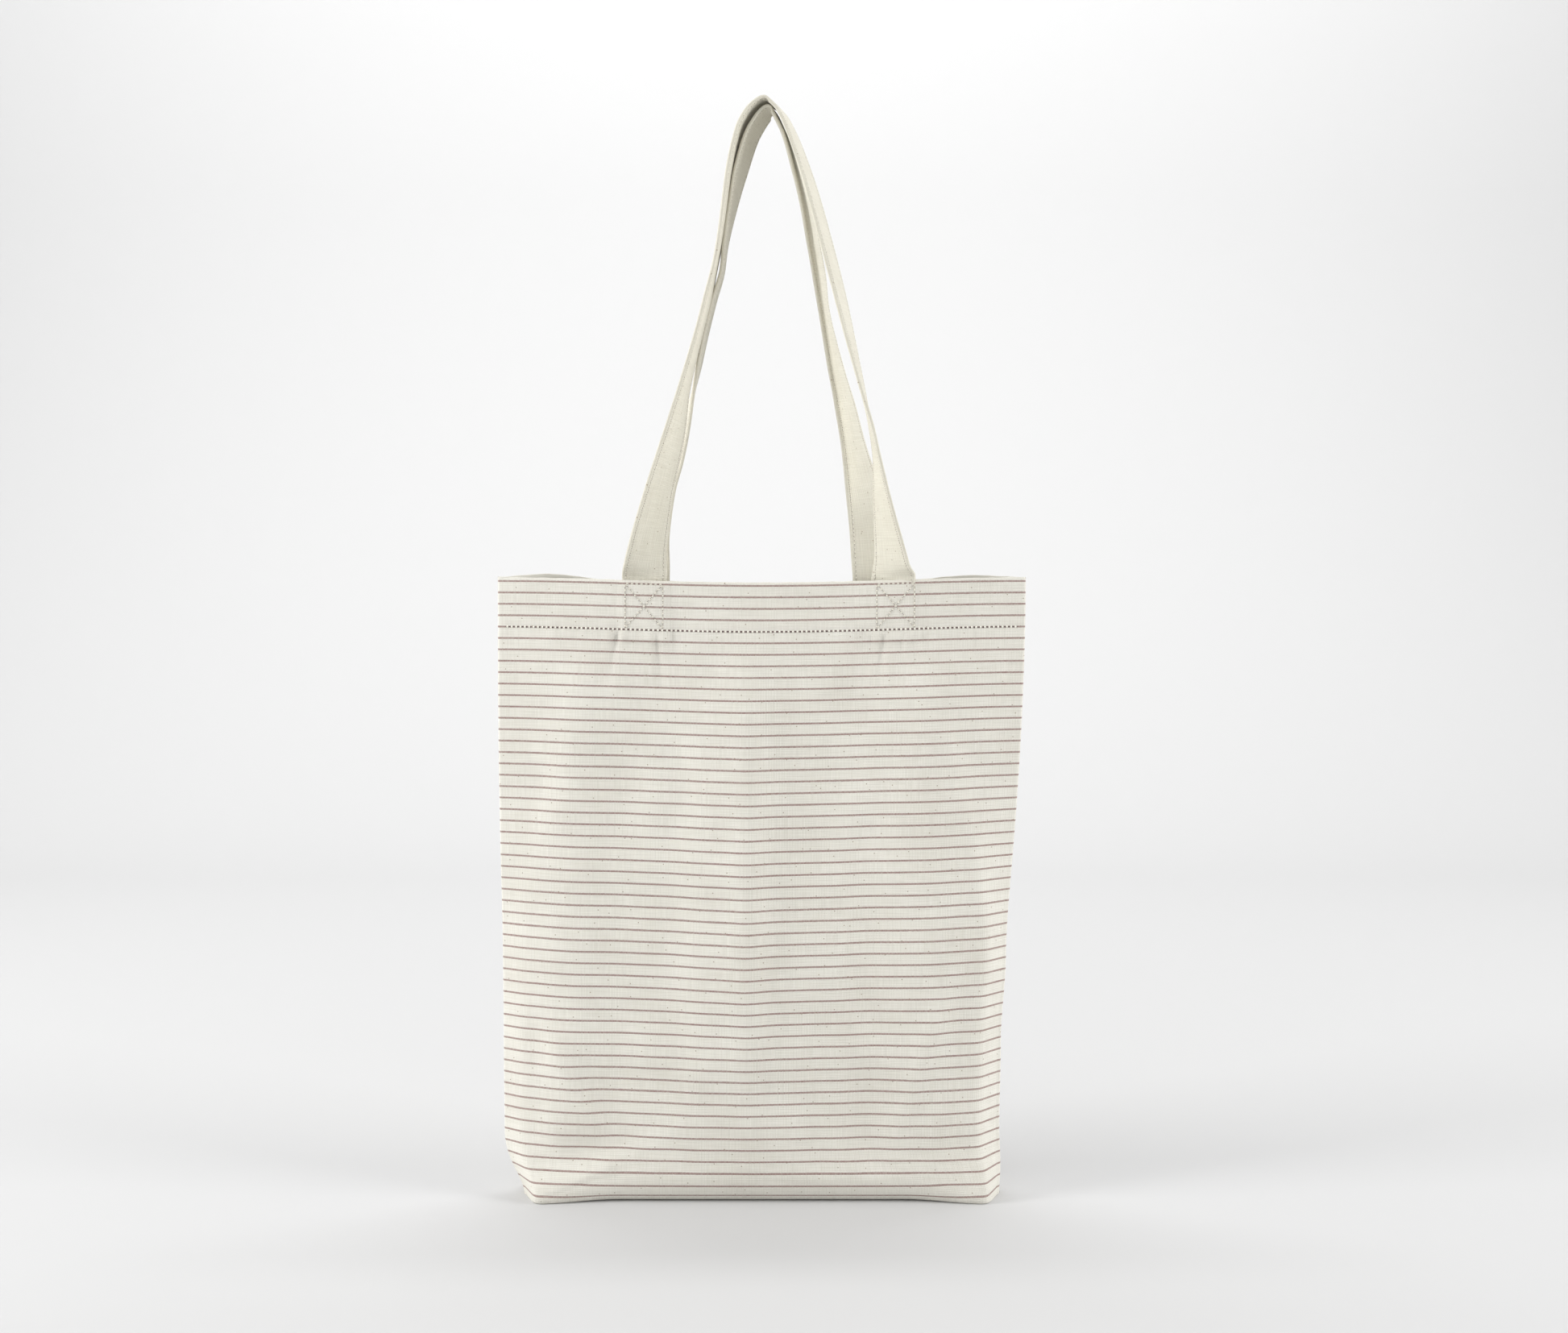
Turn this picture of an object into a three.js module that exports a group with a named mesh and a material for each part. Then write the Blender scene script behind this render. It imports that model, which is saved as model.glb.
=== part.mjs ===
// A canvas tote bag that stands open on its boxed base, with its two strap handles held up.
// Millimetres, +Z up. The origin is the middle of the base, on the surface that it stands on.
// The front is towards -Y, and the straps of the front handle are sewn inside the front panel.
import * as THREE from 'three';
import { mergeVertices } from 'three/addons/utils/BufferGeometryUtils.js';

// ---- Driving dimensions ---------------------------------------------------------------------
const BAG_WIDTH = 355;          // flat width, side seam to side seam
const BAG_HEIGHT = 412;         // rim above the surface
const BASE_DEPTH = 58;          // boxed base, front to back
const BELLY_DEPTH = 62;         // fullest depth, a little above the base
const MOUTH_DEPTH = 24;         // how far the mouth stands open
const CLOTH = 1.0;              // one layer of the printed canvas
const HEM_HEIGHT = 32;          // cloth turned in at the rim
const SEAM_ALLOWANCE = 8;       // width of the overcast seam edges inside
const SEAM_THICKNESS = 1.2;     // those edges pressed together
const STRAP_WIDTH = 30;
const STRAP_THICKNESS = 2.4;    // strap cloth folded to four layers
const STRAP_TAIL = 40;          // length of strap sewn below the rim
const HANDLE_DROP = 321;        // middle of the outer strap's top above the rim
const THREAD = 0.6;             // height of a row of stitches above the cloth
const STITCH_BOX = 25;          // side of the square stitched through each strap end

// ---- Clearances -----------------------------------------------------------------------------
const GAP = 0.3;                // between pieces that lie on each other
const LOOP_GAP = 2.4;           // between the two handles where one hangs over the other
const HINGE_CLEARANCE = 1.0;    // from the rim to the fold line of a handle, up and outwards
const HANDLE_BOW = 7;           // how far the straps bow apart where they turn past each other

// ---- How the cloth stands -------------------------------------------------------------------
const BASE_ROLL = 8;            // radius of the soft edge round the base
const BASE_BLEND = 60;          // height over which the body turns into the boxed base
const FULL_SHARE = 0.75;        // share of the height, from the rim, over which the body fills out
const STRAP_MARGIN = 2;         // straight rim left outside the outermost strap
const BODY_FLAT = 0.86;         // share of the half width in front of the side creases, where full
const CORNER_DEPTH = 20;        // depth of the side creases where the body is full

const BASE_LENGTH = BAG_WIDTH - BASE_DEPTH;
const SEAM_HALF = CLOTH + GAP + SEAM_THICKNESS / 2;
const HEM_INSET = CLOTH + GAP;
const STRAP_INSET = HEM_INSET + CLOTH + GAP;
const STRAP_DEPTH = MOUTH_DEPTH / 2 - STRAP_INSET - STRAP_THICKNESS / 2;

// Each handle: which side of the bag it is sewn to, the middles of its straps at the rim, the
// top of its loop, and the stations of its two legs. A station is the share of the height, the
// share of the spread and the direction in degrees of the strap's width seen from above. That
// direction turns half round from the left strap to the right one, so the strap has no twist
// left in it, and the outer edges of both handles turn away from the middle of the bag.
const HANDLES = {
  front: {
    side: -1, left: -78, right: 89, topX: 4, drop: HANDLE_DROP, topDepth: -2,
    leftLeg: [[0, 1, 0], [0.17, 0.885, 51], [0.31, 0.738, 67], [0.445, 0.622, 77],
      [0.58, 0.506, 85], [0.71, 0.382, 84], [0.85, 0.278, 75], [0.95, 0.19, 75], [0.985, 0.105, 76]],
    rightLeg: [[0, 1, 180], [0.11, 0.944, 125], [0.18, 0.887, 113], [0.31, 0.811, 97],
      [0.445, 0.689, 83], [0.58, 0.573, 74], [0.71, 0.447, 73], [0.85, 0.306, 74],
      [0.95, 0.178, 76], [0.985, 0.105, 77]],
  },
  back: {
    side: 1, left: -77, right: 76, topX: 6, drop: HANDLE_DROP - STRAP_THICKNESS - LOOP_GAP,
    topDepth: 2,
    leftLeg: [[0, 1, 0], [0.17, 0.855, -38], [0.245, 0.735, -62], [0.3, 0.642, -82],
      [0.38, 0.562, -90], [0.58, 0.43, -90], [0.72, 0.32, -90], [0.875, 0.198, -104],
      [0.96, 0.11, -104]],
    rightLeg: [[0, 1, -180], [0.17, 0.9, -148], [0.28, 0.8, -126], [0.38, 0.709, -118],
      [0.447, 0.636, -112], [0.58, 0.509, -102], [0.72, 0.39, -91], [0.86, 0.235, -92],
      [0.96, 0.105, -98]],
  },
};

// The rim stays straight as far as the outermost strap, so that every strap lies flat on it.
const strapCentres = Object.values(HANDLES).flatMap(({ left, right }) => [left, right]);
const MOUTH_FLAT = Math.max(...strapCentres.map(Math.abs)) + STRAP_WIDTH / 2 + STRAP_MARGIN;

// ---- Small helpers --------------------------------------------------------------------------
const lerp = (a, b, t) => a + (b - a) * t;
const clamp01 = (t) => Math.min(1, Math.max(0, t));
const smooth = (t) => clamp01(t) * clamp01(t) * (3 - 2 * clamp01(t));
const radians = (degrees) => degrees * Math.PI / 180;
const range = (count) => Array.from({ length: count + 1 }, (_, i) => i / count);

function geometryFrom(vertices, triangles) {
  const geometry = new THREE.BufferGeometry();
  const flat = vertices.flatMap((v) => [v.x, v.y, v.z]);
  geometry.setAttribute('position', new THREE.Float32BufferAttribute(flat, 3));
  geometry.setIndex(triangles.flat());
  geometry.computeVertexNormals();
  return geometry;
}

// Give a sheet of quads two faces, outward and inward inset from it, and close its free edges.
function thicken(sheet, outerInset, innerInset) {
  const triangles = sheet.quads.flatMap(([a, b, c, d]) => [[a, b, c], [a, c, d]]);
  const normals = sheet.points.map(() => new THREE.Vector3());
  const edges = new Map();
  for (const [a, b, c] of triangles) {
    const face = new THREE.Triangle(sheet.points[a], sheet.points[b], sheet.points[c]);
    const normal = face.getNormal(new THREE.Vector3());
    for (const [i, j] of [[a, b], [b, c], [c, a]]) {
      normals[i].add(normal);
      edges.has(`${j},${i}`) ? edges.delete(`${j},${i}`) : edges.set(`${i},${j}`, [i, j]);
    }
  }
  normals.forEach((n) => n.normalize());
  const offset = (inset) => sheet.points.map((p, i) => p.clone().addScaledVector(normals[i], -inset));
  const count = sheet.points.length;
  const vertices = [...offset(outerInset), ...offset(innerInset)];
  const inner = triangles.map(([a, b, c]) => [c + count, b + count, a + count]);
  const walls = [...edges.values()].flatMap(([i, j]) => [[j, i, i + count], [j, i + count, j + count]]);
  return geometryFrom(vertices, [...triangles, ...inner, ...walls]);
}

// A sheet from rows of points: every row has as many points as the first.
function gridSheet(rows) {
  const width = rows[0].length;
  const quads = [];
  for (let r = 0; r + 1 < rows.length; r += 1) {
    for (let c = 0; c + 1 < width; c += 1) {
      quads.push([r * width + c, (r + 1) * width + c, (r + 1) * width + c + 1, r * width + c + 1]);
    }
  }
  return { points: rows.flat(), quads };
}

// The back of the bag is the front mirrored in Y.
function mirrorDepth(geometry) {
  const copy = geometry.clone();
  copy.scale(1, -1, 1);
  const index = copy.getIndex();
  for (let i = 0; i < index.count; i += 3) {
    const first = index.getX(i);
    index.setX(i, index.getX(i + 1));
    index.setX(i + 1, first);
  }
  copy.computeVertexNormals();
  return copy;
}

// ---- The outline of the body at each height ---------------------------------------------------
function section(z) {
  const fill = smooth((BAG_HEIGHT - z) / (FULL_SHARE * BAG_HEIGHT));
  const boxed = smooth(1 - z / BASE_BLEND);
  const depth = lerp(lerp(MOUTH_DEPTH / 2, BELLY_DEPTH / 2, fill), BASE_DEPTH / 2, boxed);
  const creaseDepth = lerp(lerp(MOUTH_DEPTH / 2, CORNER_DEPTH, fill), BASE_DEPTH / 2, boxed);
  const flat = lerp(MOUTH_FLAT, BODY_FLAT * BAG_WIDTH / 2, fill);
  const crease = lerp(flat, BASE_LENGTH / 2, boxed);
  const front = crease + (2 / 3) * (depth - creaseDepth) ** 2 / crease;
  const facet = BAG_WIDTH / 2 - front;
  const seam = crease + Math.sqrt(Math.max(0, facet ** 2 - (creaseDepth - SEAM_HALF) ** 2));
  return { depth, creaseDepth, crease, seam };
}

// Depth of the front face, measured forwards from the middle of the bag.
function faceDepth(x, z) {
  const { depth, creaseDepth, crease, seam } = section(z);
  const across = Math.abs(x);
  if (across <= crease) return lerp(depth, creaseDepth, (across / crease) ** 2);
  return lerp(creaseDepth, SEAM_HALF, (across - crease) / (seam - crease));
}

const FRONT_STEPS = 8;
const FACET_STEPS = 3;

// Points across the front face, left to right, between the two creases.
function frontRow(z) {
  const { crease } = section(z);
  return range(FRONT_STEPS).map((t) => {
    const x = lerp(-crease, crease, t);
    return new THREE.Vector3(x, -faceDepth(x, z), z);
  });
}

// Points from a side seam to the crease, or from the crease to the seam.
function facetRow(side, z) {
  const { creaseDepth, crease, seam } = section(z);
  const outwards = range(FACET_STEPS).slice(1).map((t) => new THREE.Vector3(
    side * lerp(crease, seam, t), -lerp(creaseDepth, SEAM_HALF, t), z));
  return side > 0 ? outwards : outwards.reverse();
}

const bodyRow = (z) => [...facetRow(-1, z), ...frontRow(z), ...facetRow(1, z)];

// ---- Front and back panel: face, half of each side and half of the base -----------------------
const FACET_END = CLOTH + GAP;   // where a side stops above the base that it is sewn to

// Rows of the soft edge, from the upright face (0) to the flat base (90 degrees).
function rollRow(angle) {
  const inset = BASE_ROLL * (1 - Math.cos(angle));
  const z = BASE_ROLL * (1 - Math.sin(angle));
  return bodyRow(BASE_ROLL).map((p) => {
    const reach = Math.min(1, (-p.y - SEAM_HALF) / (BASE_DEPTH / 2 - SEAM_HALF));
    return new THREE.Vector3(p.x, p.y + inset * reach, z);
  });
}

function panelSheet() {
  const upper = range(9).map((t) => bodyRow(lerp(BAG_HEIGHT, BASE_BLEND, t)));
  const lower = range(5).slice(1).map((t) => bodyRow(lerp(BASE_BLEND, BASE_ROLL, t)));
  const lastAngle = Math.asin(1 - FACET_END / BASE_ROLL);
  const roll = [lastAngle / 2, lastAngle].map(rollRow);
  const sheet = gridSheet([...upper, ...lower, ...roll]);
  const width = bodyRow(0).length;
  let previous = range(FRONT_STEPS).map((_, i) => sheet.points.length - width + FACET_STEPS + i);
  const baseStart = rollRow(Math.PI / 2).slice(FACET_STEPS, FACET_STEPS + FRONT_STEPS + 1);
  for (const t of range(3)) {
    const next = baseStart.map((p) => sheet.points.push(
      new THREE.Vector3(p.x, lerp(p.y, -GAP / 2, t), 0)) - 1);
    for (let c = 0; c < FRONT_STEPS; c += 1) {
      sheet.quads.push([previous[c], next[c], next[c + 1], previous[c + 1]]);
    }
    previous = next;
  }
  return sheet;
}

// ---- Hem, straps sewn inside it, and rows of stitches -----------------------------------------
// A band of the front face between two heights, stopping short of the side seams by a margin.
function bandSheet(low, high, margin, rows) {
  return gridSheet(range(rows).map((t) => {
    const z = lerp(high, low, t);
    const edge = section(z).seam - margin;
    const end = (x) => new THREE.Vector3(x, -faceDepth(x, z), z);
    return [end(-edge), ...bodyRow(z).slice(1, -1), end(edge)];
  }));
}

const HEM_MARGIN = SEAM_ALLOWANCE + 2;
const hem = () => thicken(
  bandSheet(BAG_HEIGHT - HEM_HEIGHT, BAG_HEIGHT, HEM_MARGIN, 3), HEM_INSET, HEM_INSET + CLOTH);
const hemStitch = () => thicken(
  bandSheet(BAG_HEIGHT - HEM_HEIGHT + 1, BAG_HEIGHT - HEM_HEIGHT + 2, 1, 1), -GAP - THREAD, -GAP);

function strapTail(centre) {
  const rows = range(4).map((t) => {
    const z = lerp(BAG_HEIGHT, BAG_HEIGHT - STRAP_TAIL, t);
    return range(3).map((s) => {
      const x = centre + STRAP_WIDTH * (s - 0.5);
      return new THREE.Vector3(x, -faceDepth(x, z), z);
    });
  });
  return thicken(gridSheet(rows), STRAP_INSET, STRAP_INSET + STRAP_THICKNESS);
}

// A square of stitches with its two diagonals, laid on the front face below the rim.
function boxStitch(centre) {
  const half = STITCH_BOX / 2;
  const line = 0.9;
  const square = new THREE.Shape();
  square.moveTo(-half, -half).lineTo(half, -half).lineTo(half, half).lineTo(-half, half);
  const triangleInside = [[0, line], [half - 2 * line, half - line], [-half + 2 * line, half - line]];
  for (let turn = 0; turn < 4; turn += 1) {
    const points = triangleInside.map(([x, y]) => new THREE.Vector2(x, y)
      .rotateAround(new THREE.Vector2(), turn * Math.PI / 2));
    square.holes.push(new THREE.Path(points));
  }
  const geometry = new THREE.ExtrudeGeometry(square, { depth: THREAD, bevelEnabled: false });
  geometry.deleteAttribute('normal');
  geometry.deleteAttribute('uv');
  const position = geometry.getAttribute('position');
  for (let i = 0; i < position.count; i += 1) {
    const x = centre + position.getX(i);
    const z = BAG_HEIGHT - 3 - half + position.getY(i);
    position.setXYZ(i, x, -faceDepth(x, z) - GAP - position.getZ(i), z);
  }
  return mergeVertices(geometry);
}

// ---- Seams ------------------------------------------------------------------------------------
// The overcast edges of both panels, a strip in the middle plane that follows the side.
function sideSeam(side) {
  const foot = CLOTH + 2 * GAP + SEAM_THICKNESS + GAP;
  const rows = range(14).map((t) => {
    const z = lerp(BAG_HEIGHT - GAP, foot, t);
    const { seam } = section(Math.max(z, BASE_ROLL));
    return [seam - SEAM_ALLOWANCE, seam].map((x) => new THREE.Vector3(side * x, 0, z));
  });
  const sheet = gridSheet(side > 0 ? rows : rows.map((row) => row.reverse()));
  return thicken(sheet, -SEAM_THICKNESS / 2, SEAM_THICKNESS / 2);
}

function flatStrip(lengthX, lengthY) {
  return new THREE.BoxGeometry(lengthX, lengthY, SEAM_THICKNESS);
}

// ---- Handles ----------------------------------------------------------------------------------
const bow = (rise) => HANDLE_BOW * Math.sin(Math.PI * rise ** 0.6);

function handleStations(handle) {
  const foot = BAG_HEIGHT + HINGE_CLEARANCE;
  const top = BAG_HEIGHT + handle.drop;
  const leg = (stations, end) => stations.map(([rise, spread, turn]) => ({
    point: new THREE.Vector3(lerp(handle.topX, end, spread),
      lerp(handle.side * STRAP_DEPTH, handle.topDepth, rise) + handle.side * bow(rise),
      lerp(foot, top, rise)),
    turn,
  }));
  const left = leg(handle.leftLeg, handle.left);
  const right = leg(handle.rightLeg, handle.right).reverse();
  const turn = (left.at(-1).turn + right[0].turn) / 2;
  return [...left, { point: new THREE.Vector3(handle.topX, handle.topDepth, top), turn }, ...right];
}

const HANDLE_STEPS = 72;

// A flat strap swept along its route, with its width turning from station to station.
function handleLoop(handle) {
  const stations = handleStations(handle);
  const route = new THREE.CatmullRomCurve3(stations.map((s) => s.point));
  const turns = new THREE.CatmullRomCurve3(stations.map((s) => new THREE.Vector3(s.turn, 0, 0)));
  const endTangents = { 0: new THREE.Vector3(0, 0, 1), 1: new THREE.Vector3(0, 0, -1) };
  const vertices = [];
  for (const t of range(HANDLE_STEPS)) {
    const along = endTangents[t] ?? route.getTangent(t);
    const angle = radians(turns.getPoint(t).x);
    const across = new THREE.Vector3(Math.cos(angle), Math.sin(angle), 0);
    across.addScaledVector(along, -across.dot(along)).normalize();
    const outwards = new THREE.Vector3().crossVectors(across, along);
    for (const [w, h] of [[-1, -1], [1, -1], [1, 1], [-1, 1]]) {
      vertices.push(route.getPoint(t)
        .addScaledVector(across, w * STRAP_WIDTH / 2)
        .addScaledVector(outwards, h * STRAP_THICKNESS / 2));
    }
  }
  const triangles = [];
  for (let ring = 0; ring < HANDLE_STEPS; ring += 1) {
    for (let k = 0; k < 4; k += 1) {
      const a = ring * 4 + k;
      const b = ring * 4 + (k + 1) % 4;
      triangles.push([a, a + 4, b + 4], [a, b + 4, b]);
    }
  }
  const end = HANDLE_STEPS * 4;
  triangles.push([0, 1, 2], [0, 2, 3], [end, end + 2, end + 1], [end, end + 3, end + 2]);
  return geometryFrom(vertices, triangles);
}

// ---- Assembly ---------------------------------------------------------------------------------
const finish = (color, roughness) => new THREE.MeshStandardMaterial({ color, roughness, metalness: 0 });
const canvas = () => finish('#e4e2d4', 0.92);
const strapCloth = () => finish('#dfdbca', 0.9);
const seamEdge = () => finish('#d9d3bf', 0.95);
const thread = () => finish('#efecdf', 0.8);

const group = new THREE.Group();
function add(name, geometry, material, x = 0, y = 0, z = 0) {
  const mesh = new THREE.Mesh(geometry, material);
  mesh.name = name;
  mesh.position.set(x, y, z);
  group.add(mesh);
}

const sides = { front: (geometry) => geometry, back: mirrorDepth };
for (const [name, place] of Object.entries(sides)) {
  const handle = HANDLES[name];
  add(`${name}_panel`, place(thicken(panelSheet(), 0, CLOTH)), canvas());
  add(`${name}_hem`, place(hem()), canvas());
  add(`${name}_hem_stitch`, place(hemStitch()), thread());
  for (const end of ['left', 'right']) {
    add(`${name}_strap_end_${end}`, place(strapTail(handle[end])), strapCloth());
    add(`${name}_box_stitch_${end}`, place(boxStitch(handle[end])), thread());
  }
  add(`${name}_handle`, handleLoop(handle), strapCloth());
}

const liningLevel = CLOTH + GAP + SEAM_THICKNESS / 2;
const cornerX = BASE_LENGTH / 2 - CLOTH - GAP - SEAM_ALLOWANCE / 2;
const cornerWidth = BASE_DEPTH - 2 * BASE_ROLL;
const bottomLength = 2 * (cornerX - SEAM_ALLOWANCE / 2 - GAP);
add('bottom_seam', flatStrip(bottomLength, SEAM_ALLOWANCE), seamEdge(), 0, 0, liningLevel);
for (const [name, side] of [['left', -1], ['right', 1]]) {
  add(`${name}_side_seam`, sideSeam(side), seamEdge());
  add(`${name}_corner_seam`, flatStrip(SEAM_ALLOWANCE, cornerWidth), seamEdge(),
    side * cornerX, 0, liningLevel);
}

export default group;
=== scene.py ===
# %% [markdown]
# # A striped canvas tote bag
# The bag is two rectangles of striped canvas, hemmed along the top, sewn
# together down the sides and along the bottom, and boxed at the two lower
# corners so that it stands. Two flat straps are sewn inside the rim.
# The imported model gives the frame, in metres, with +Z up. The sizes below are
# typed in mm, close to those of its solids, and are not read from them.

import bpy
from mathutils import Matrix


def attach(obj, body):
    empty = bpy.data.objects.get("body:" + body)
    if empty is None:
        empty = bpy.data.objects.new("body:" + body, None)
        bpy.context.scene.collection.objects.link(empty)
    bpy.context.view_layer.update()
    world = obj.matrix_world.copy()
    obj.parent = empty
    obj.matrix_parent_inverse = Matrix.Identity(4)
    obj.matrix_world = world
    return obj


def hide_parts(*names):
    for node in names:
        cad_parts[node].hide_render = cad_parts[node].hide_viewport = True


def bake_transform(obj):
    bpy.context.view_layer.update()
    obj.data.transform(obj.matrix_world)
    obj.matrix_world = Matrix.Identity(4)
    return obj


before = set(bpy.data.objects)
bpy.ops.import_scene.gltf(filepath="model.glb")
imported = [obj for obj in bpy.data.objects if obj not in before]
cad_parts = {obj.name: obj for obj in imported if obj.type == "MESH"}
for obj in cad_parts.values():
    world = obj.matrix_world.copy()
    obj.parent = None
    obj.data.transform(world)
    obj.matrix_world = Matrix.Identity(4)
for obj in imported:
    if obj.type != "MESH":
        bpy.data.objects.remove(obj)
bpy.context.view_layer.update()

# %% Tools
import math

import bpy
import numpy as np

MM = 0.001


def smooth(x):
    """0 below 0, 1 above 1, and a soft step between them."""
    x = np.clip(x, 0.0, 1.0)
    return x * x * (3 - 2 * x)


def lerp(a, b, t):
    return a + (b - a) * t


# %% [markdown]
# ## Meshes from rows of points
# Cloth and straps are sheets, so each is lofted: rows of points, joined by
# four-sided faces. Every corner also keeps its place on the flat cloth as a
# UV map in metres, so that stripes and weave follow the cloth round folds.

# %% Loft helpers
def mesh_piece(name, points, faces, flat):
    """A mesh object from points in mm, faces, and one flat place in mm per point."""
    mesh = bpy.data.meshes.new(name)
    points = np.asarray(points, float) * MM
    mesh.from_pydata(points.tolist(), [], faces)
    layer = mesh.uv_layers.new(name="Cloth")
    corners = np.empty(len(mesh.loops), int)
    mesh.loops.foreach_get("vertex_index", corners)
    layer.data.foreach_set("uv", (np.asarray(flat, float)[corners] * MM).ravel())
    mesh.polygons.foreach_set("use_smooth", np.ones(len(mesh.polygons), bool))
    mesh.update()
    made = bpy.data.objects.new(name, mesh)
    bpy.context.collection.objects.link(made)
    return made


def grid_faces(rows, columns, turned=False, keep=None, wrap=False):
    """Four-sided faces over rows of points; keep(row, column) may leave some out."""
    faces = []
    for r in range(rows - 1):
        for c in range(columns if wrap else columns - 1):
            if keep is None or keep(r, c):
                a, b = r * columns + c, r * columns + (c + 1) % columns
                face = (a, b, b + columns, a + columns)
                faces.append(face[::-1] if turned else face)
    return faces


def work_on(piece):
    """Makes this the one selected and active object."""
    bpy.ops.object.select_all(action="DESELECT")
    piece.select_set(True)
    bpy.context.view_layer.objects.active = piece


def thicken(piece, thickness):
    """Gives a sheet its thickness with Solidify, growing against its normals."""
    work_on(piece)
    solidify = piece.modifiers.new("Thickness", "SOLIDIFY")
    solidify.thickness = thickness * MM
    solidify.offset = -1
    solidify.use_even_offset = False
    bpy.ops.object.modifier_apply(modifier=solidify.name)
    print(piece.name, len(piece.data.polygons), "faces")


# %% [markdown]
# ## Sizes of the bag
# The bag lies in the frame with its width along X and its front at -Y.
# Each side of a panel is a flat strip 177.5 mm wide from the middle to the
# side seam. A soft crease runs down it: inside the crease the cloth is the
# bag's face, outside it is the narrow facet that turns in to the seam.
# How wide that facet is decides the outline at every height.

# %% Sizes in mm
HALF_FLAT = 177.5
HEIGHT = 412.0
# How far the cloth is from the bag's middle plane, at the rim, belly and base.
RIM_DEPTH, BELLY_DEPTH, BASE_DEPTH = 12.0, 31.0, 29.0
CANVAS = 0.9
# The cloth turned in at the rim, the radius of its fold, and its row of stitches.
HEM, FOLD, HEM_LINE = 34.0, 1.0, 32.9
HALF_BASE = 148.5
# The side seam: half of its thickness, and the radius that it turns by.
SEAM_HALF, SEAM_ROUND = 2, 1.95
STRIPE_START, STRIPE_PITCH = 2.4, 7.62
STRAP_WIDTH, STRAP_THICKNESS, STRAP_DEPTH, STRAP_TAIL = 30.0, 2.4, 8.2, 40.0
STRAP_AT = {"front": (-78.0, 89.0), "back": (-77.0, 76.0)}
SIDES = {"front": -1, "back": 1}
print("sizes typed in, in mm: width", 2 * HALF_FLAT, "height", HEIGHT, "depth", 2 * BELLY_DEPTH)

# %% The facets down the sides
# Width of the facet and depth of its crease, by height, at the left and right.
FACET_HEIGHTS = [0, 42, 100, 160, 412]
FACET_WIDTH = {-1: [29, 18, 18, 19.5, 71.5], 1: [29, 25, 24, 22.5, 71.5]}
CREASE_DEPTH = {-1: [29, 13, 12, 12, 12], 1: [29, 21, 20, 18.5, 12]}
# How much of the flat width is taken up by small gathers.
GATHER = {-1: [0, 0, 0, 0, 0], 1: [0, 9, 8.5, 6, 0]}


def by_height(z, values):
    """Values given at FACET_HEIGHTS, joined by soft steps."""
    z = np.clip(z, 0, FACET_HEIGHTS[-1])
    i = np.clip(np.searchsorted(FACET_HEIGHTS, z, side="right") - 1, 0, len(values) - 2)
    low, high = np.take(FACET_HEIGHTS, i), np.take(FACET_HEIGHTS, i + 1)
    return lerp(np.take(values, i), np.take(values, i + 1), smooth((z - low) / (high - low)))


# %% The section of the bag at any height
BELLY_BELOW, BOXED_HEIGHT = 0.75, 55
CREASE_SOFTENING = (-4, -2, 0, 2, 4)


def section(u, z):
    """(x, depth) of the cloth at flat place u and height z, for one panel of the bag."""
    u, z = np.broadcast_arrays(np.asarray(u, float), np.asarray(z, float))
    fill = smooth((HEIGHT - z) / (BELLY_BELOW * HEIGHT))
    boxed = smooth(1 - z / BOXED_HEIGHT)
    depth = lerp(lerp(RIM_DEPTH, BELLY_DEPTH, fill), BASE_DEPTH, boxed)
    tables = (FACET_WIDTH, CREASE_DEPTH, GATHER)
    width, edge, gather = (np.where(u < 0, by_height(z, t[-1]), by_height(z, t[1])) for t in tables)
    front = HALF_FLAT - gather - width
    # The face is a shallow arch, which is a little shorter than its cloth.
    crease = front - 2 / 3 * (depth - edge) ** 2 / front
    seam = crease + np.sqrt(np.maximum(width**2 - (edge - SEAM_HALF) ** 2, 1))
    x_sum = y_sum = 0
    # The mean of a few places near u makes the crease soft.
    for shift in CREASE_SOFTENING:
        a = np.abs(u) * (1 - gather / HALF_FLAT) + shift
        out = (a - front) / width
        on_face = a <= front
        x = np.where(on_face, crease * a / front, crease + out * (seam - crease))
        share = np.clip(a / front, -1, 1)
        y = np.where(on_face, lerp(depth, edge, share**2), lerp(edge, SEAM_HALF, out))
        x_sum, y_sum = x_sum + x / len(CREASE_SOFTENING), y_sum + y / len(CREASE_SOFTENING)
    # At the seam the cloth turns in to the bag's middle plane.
    start = seam - SEAM_ROUND
    turn = np.clip((x_sum - start) / SEAM_ROUND, 0, 1)
    slope = (edge - SEAM_HALF) / (seam - crease)
    rounded = (SEAM_HALF + SEAM_ROUND * slope) * np.sqrt(1 - turn**2)
    y_sum = np.where(x_sum > start, np.maximum(rounded, 0.05), y_sum)
    return np.sign(u) * np.minimum(x_sum, seam), y_sum


for z in (412, 300, 200, 100, 40, 5):
    print("outline at", z, [round(float(section(u, z)[0]), 1) for u in (-HALF_FLAT, HALF_FLAT)])

# %% [markdown]
# ## Folds of the cloth
# A sewn cloth shell hangs in soft folds that a plain loft does not have. A
# cloth simulation would put folds in places of its own, so these are placed
# one by one, as sums of soft bumps over the flat cloth: broad folds that run
# down from the straps, slanting creases near the boxed corners, and a fine
# unevenness all over.

# %% Bumps and ripples
def bump(x, centre, spread):
    """A soft hill, 1 high at its centre."""
    return np.exp(-(((x - centre) / spread) ** 2))


def ripple(x, length, seed):
    """A wandering wave about 1 high: three waves whose lengths don't match."""
    waves = np.random.default_rng(seed).uniform(0, 2 * np.pi, 3)
    lengths = [length * share for share in (1, 1.37, 0.71)]
    return sum(np.sin(2 * np.pi * x / long + start) for long, start in zip(lengths, waves)) / 2


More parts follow.
